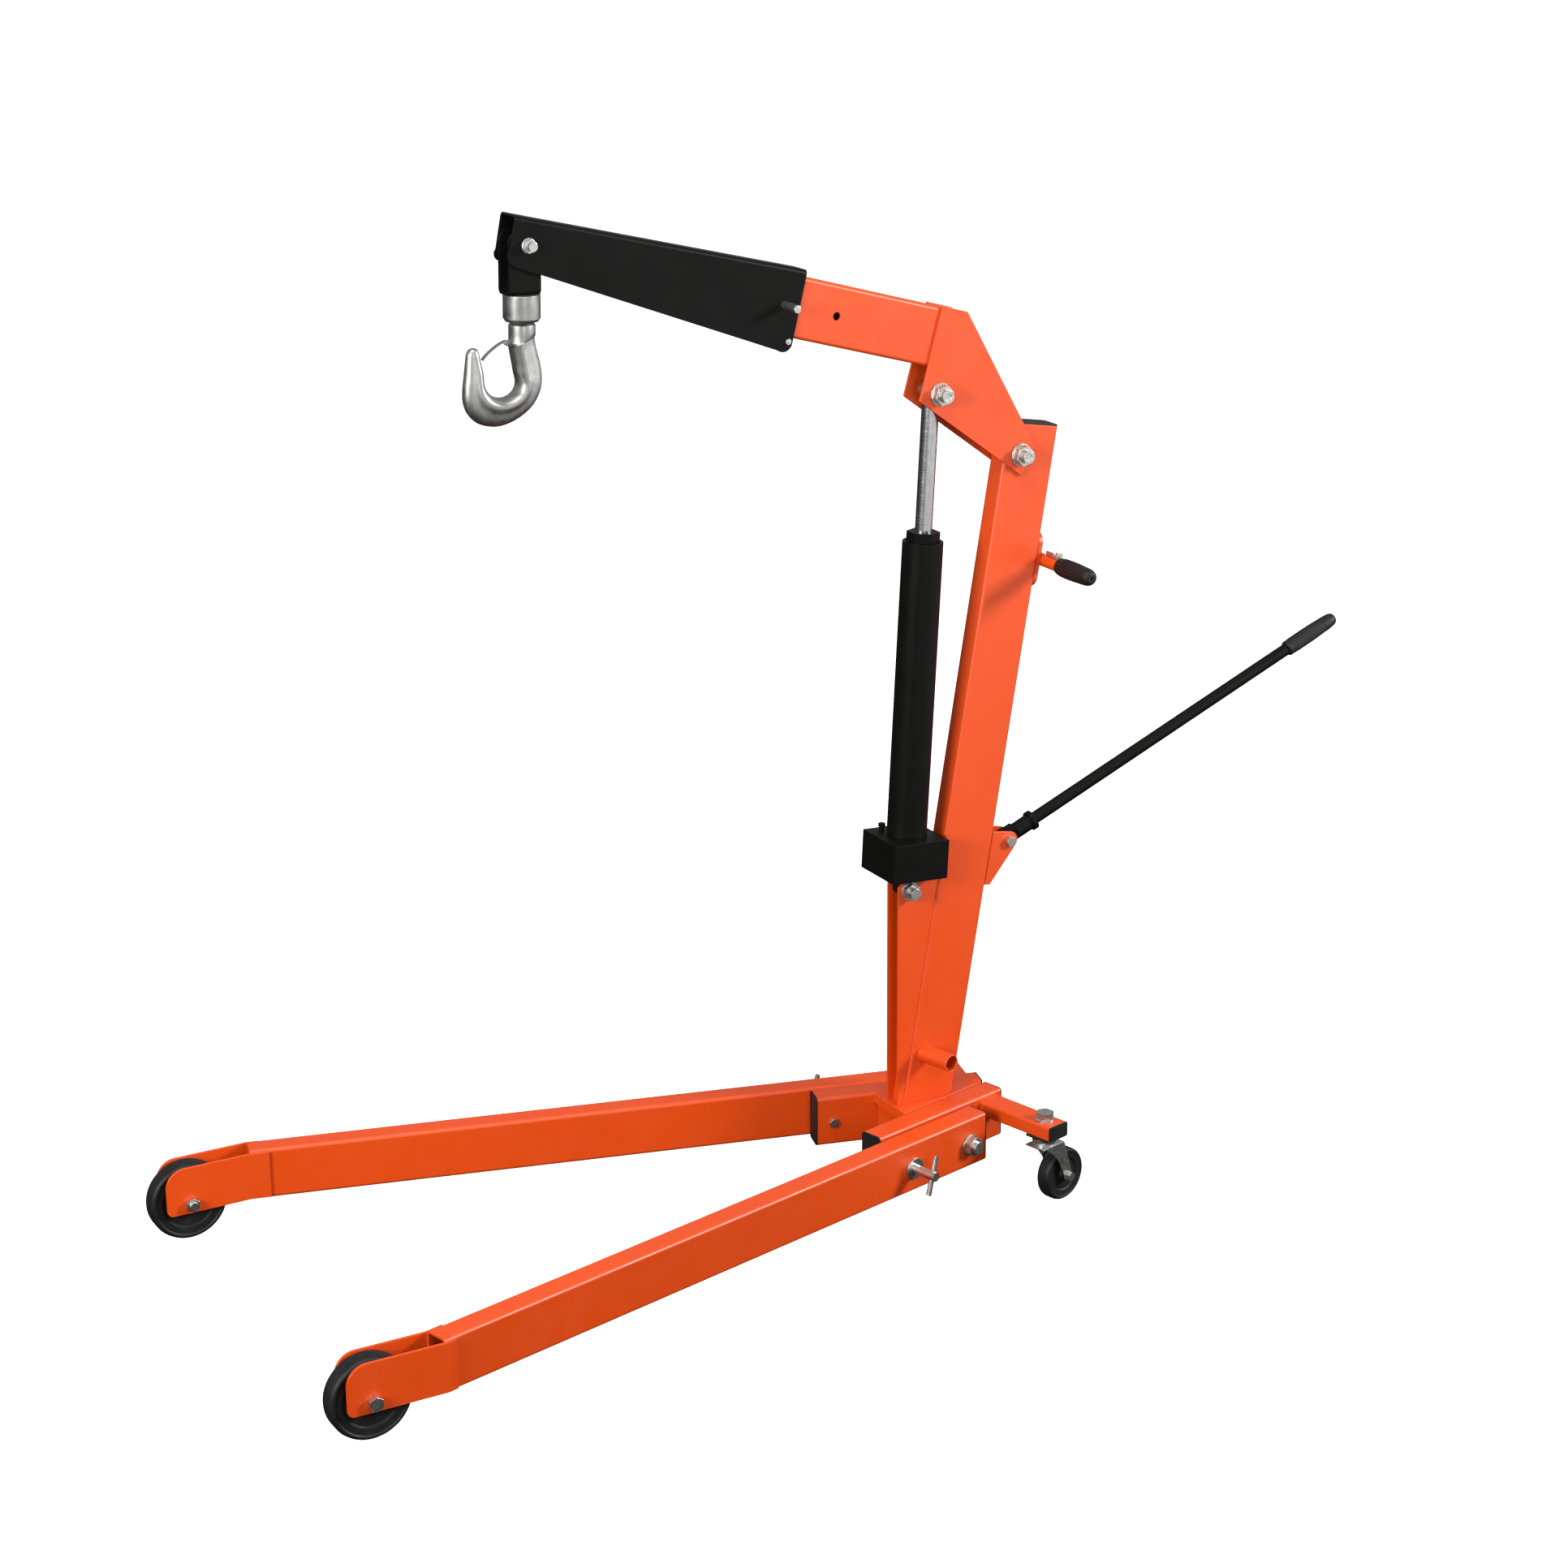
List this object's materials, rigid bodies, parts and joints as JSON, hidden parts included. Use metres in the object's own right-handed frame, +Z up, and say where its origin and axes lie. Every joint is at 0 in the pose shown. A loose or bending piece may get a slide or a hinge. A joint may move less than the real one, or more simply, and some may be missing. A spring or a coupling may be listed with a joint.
{
  "type": "folding engine hoist crane",
  "caption": "Folding workshop crane on wheels: V base with hinged legs, leaning mast, hydraulic ram, boom with a sliding pinned extension and a swivel hook with a latch.",
  "frame": {"origin": "on the floor, under the middle of the crane's bounding box", "axes": "+Z up, the hook and the front wheels towards -Y, the pump lever towards +Y, +X to the crane's left"},
  "size_m": [0.95, 2.3502, 1.9306],
  "materials": {
    "orange_paint": "glossy orange powder coat",
    "black_paint": "satin black paint",
    "zinc_steel": "zinc plated",
    "forged_steel": "satin forged steel",
    "chromed_rod": "ground and chromed",
    "black_plastic": "black moulded plastic",
    "grip_rubber": "ribbed soft black rubber"
  },
  "bodies": {
    "frame": {"base_rails": "orange_paint", "base_plate": "orange_paint", "cross_panel": "orange_paint", "end_caps": "black_plastic", "outrigger_arms": "orange_paint", "mast": "orange_paint", "mast_cap": "black_plastic", "ram_plates": "orange_paint", "stow_tubes": "orange_paint", "lever_bracket": "orange_paint", "handle_plate": "orange_paint", "push_bar": "orange_paint", "push_grips": "grip_rubber", "handle_clip": "zinc_steel", "mast_bolts": "zinc_steel", "leg_pivot_bolts": "zinc_steel", "pivot_nuts": "zinc_steel", "pivot_washers": "zinc_steel", "lock_pin_tips": "zinc_steel", "caster_bolts": "zinc_steel", "caster_pads": "black_plastic"},
    "leg_left": {"leg_left": "orange_paint", "leg_fork_left": "orange_paint", "leg_cap_left": "black_plastic", "axle_bolt_left": "zinc_steel", "lock_washer_left": "zinc_steel"},
    "front_wheel_left": {"front_wheel_left": "black_plastic"},
    "lock_pin_left": {"lock_pin_left": "zinc_steel"},
    "caster_left": {"caster_fork_left": "zinc_steel", "caster_axle_left": "zinc_steel"},
    "caster_wheel_left": {"caster_wheel_left": "black_plastic"},
    "leg_right": {"leg_right": "orange_paint", "leg_fork_right": "orange_paint", "leg_cap_right": "black_plastic", "axle_bolt_right": "zinc_steel", "lock_washer_right": "zinc_steel"},
    "front_wheel_right": {"front_wheel_right": "black_plastic"},
    "lock_pin_right": {"lock_pin_right": "zinc_steel"},
    "caster_right": {"caster_fork_right": "zinc_steel", "caster_axle_right": "zinc_steel"},
    "caster_wheel_right": {"caster_wheel_right": "black_plastic"},
    "boom": {"boom": "orange_paint", "boom_plates": "orange_paint", "ram_head_bolt": "zinc_steel"},
    "extension": {"extension": "black_paint", "extension_bolts": "zinc_steel"},
    "extension_pin": {"extension_pin": "black_paint"},
    "hook_bracket": {"hook_bracket": "black_paint"},
    "hook": {"swivel_collar": "forged_steel", "hook": "forged_steel"},
    "hook_latch": {"hook_latch": "forged_steel"},
    "ram": {"pump_block": "black_paint", "ram_cylinder": "black_paint", "ram_gland": "black_paint", "filler_plug": "black_paint"},
    "ram_rod": {"ram_rod": "chromed_rod"},
    "release_valve": {"release_valve": "black_paint"},
    "pump_lever": {"lever_socket": "black_paint"},
    "lever_bar": {"lever_bar": "black_paint", "lever_grip": "grip_rubber"}
  },
  "joints": [
    {"name": "leg_fold_left", "type": "hinge", "parent": "frame", "child": "leg_left", "pos_m": [0.11704, 0.25192, 0.12829], "axis": [-0.9681, -0.2503, -0.0054], "range_deg": [0, 83]},
    {"name": "front_wheel_spin_left", "type": "hinge", "parent": "leg_left", "child": "front_wheel_left", "pos_m": [0.43477, -1.10108, 0.075], "axis": [1, 0, 0], "continuous": true},
    {"name": "lock_pin_slide_left", "type": "slide", "parent": "leg_left", "child": "lock_pin_left", "axis": [0.9681, 0.2503, 0.0054], "range_m": [0, 0.1]},
    {"name": "caster_swivel_left", "type": "hinge", "parent": "frame", "child": "caster_left", "pos_m": [0.19754, 0.39004, 0.12678], "axis": [0, -0.0216, 0.9998], "continuous": true},
    {"name": "caster_wheel_spin_left", "type": "hinge", "parent": "caster_left", "child": "caster_wheel_left", "pos_m": [0.18602, 0.4362, 0.052], "axis": [0.9681, 0.2503, 0.0054], "continuous": true},
    {"name": "leg_fold_right", "type": "hinge", "parent": "frame", "child": "leg_right", "pos_m": [-0.11704, 0.25192, 0.12829], "axis": [-0.9681, 0.2503, 0.0054], "range_deg": [0, 83]},
    {"name": "front_wheel_spin_right", "type": "hinge", "parent": "leg_right", "child": "front_wheel_right", "pos_m": [-0.43477, -1.10108, 0.075], "axis": [1, 0, 0], "continuous": true},
    {"name": "lock_pin_slide_right", "type": "slide", "parent": "leg_right", "child": "lock_pin_right", "axis": [-0.9681, 0.2503, 0.0054], "range_m": [0, 0.1]},
    {"name": "caster_swivel_right", "type": "hinge", "parent": "frame", "child": "caster_right", "pos_m": [-0.19754, 0.39004, 0.12678], "axis": [0, -0.0216, 0.9998], "continuous": true},
    {"name": "caster_wheel_spin_right", "type": "hinge", "parent": "caster_right", "child": "caster_wheel_right", "pos_m": [-0.18602, 0.4362, 0.052], "axis": [-0.9681, 0.2503, 0.0054], "continuous": true},
    {"name": "boom_lift", "type": "hinge", "parent": "frame", "child": "boom", "pos_m": [0, 0.39317, 1.43271], "axis": [-1, 0, 0], "range_deg": [-30, 25]},
    {"name": "ram_tilt", "type": "hinge", "parent": "frame", "child": "ram", "pos_m": [0, 0.18252, 0.6159], "axis": [-1, 0, 0], "range_deg": [-3.6, 3.1]},
    {"name": "ram_stroke", "type": "slide", "parent": "ram", "child": "ram_rod", "axis": [0, 0.0348, 0.9994], "range_m": [-0.098, 0.082]},
    {"name": "release_valve_turn", "type": "hinge", "parent": "ram", "child": "release_valve", "pos_m": [-0.043, 0.1572, 0.72235], "axis": [0, 0.0348, 0.9994], "range_deg": [-360, 0]},
    {"name": "extension_slide", "type": "slide", "parent": "boom", "child": "extension", "axis": [0, -0.9745, 0.2243], "range_m": [-0.112, 0.224]},
    {"name": "extension_pin_slide", "type": "slide", "parent": "extension", "child": "extension_pin", "axis": [-1, 0, 0], "range_m": [0, 0.06]},
    {"name": "bracket_swing", "type": "hinge", "parent": "extension", "child": "hook_bracket", "pos_m": [0, -0.59588, 1.87953], "axis": [-1, 0, 0], "range_deg": [-25, 35]},
    {"name": "hook_swivel", "type": "hinge", "parent": "hook_bracket", "child": "hook", "pos_m": [0, -0.59588, 1.79554], "axis": [0, 0, 1], "continuous": true},
    {"name": "latch_open", "type": "hinge", "parent": "hook", "child": "hook_latch", "pos_m": [0, -0.62588, 1.71354], "axis": [1, 0, 0], "range_deg": [0, 30], "stiffness_Nm_per_rad": 0.2, "springref_deg": -20.05},
    {"name": "pump_lever_swing", "type": "hinge", "parent": "frame", "child": "pump_lever", "pos_m": [0, 0.40416, 0.68072], "axis": [1, 0, 0], "range_deg": [-40, 45]},
    {"name": "lever_bar_slide", "type": "slide", "parent": "pump_lever", "child": "lever_bar", "axis": [0, 0.9118, 0.4106], "range_m": [0, 0.1]}
  ],
  "couplings": [
    {"joint": "ram_tilt", "follows": "boom_lift", "ratio": 0.11488},
    {"joint": "ram_stroke", "follows": "boom_lift", "m_per_rad": 0.18576}
  ]
}
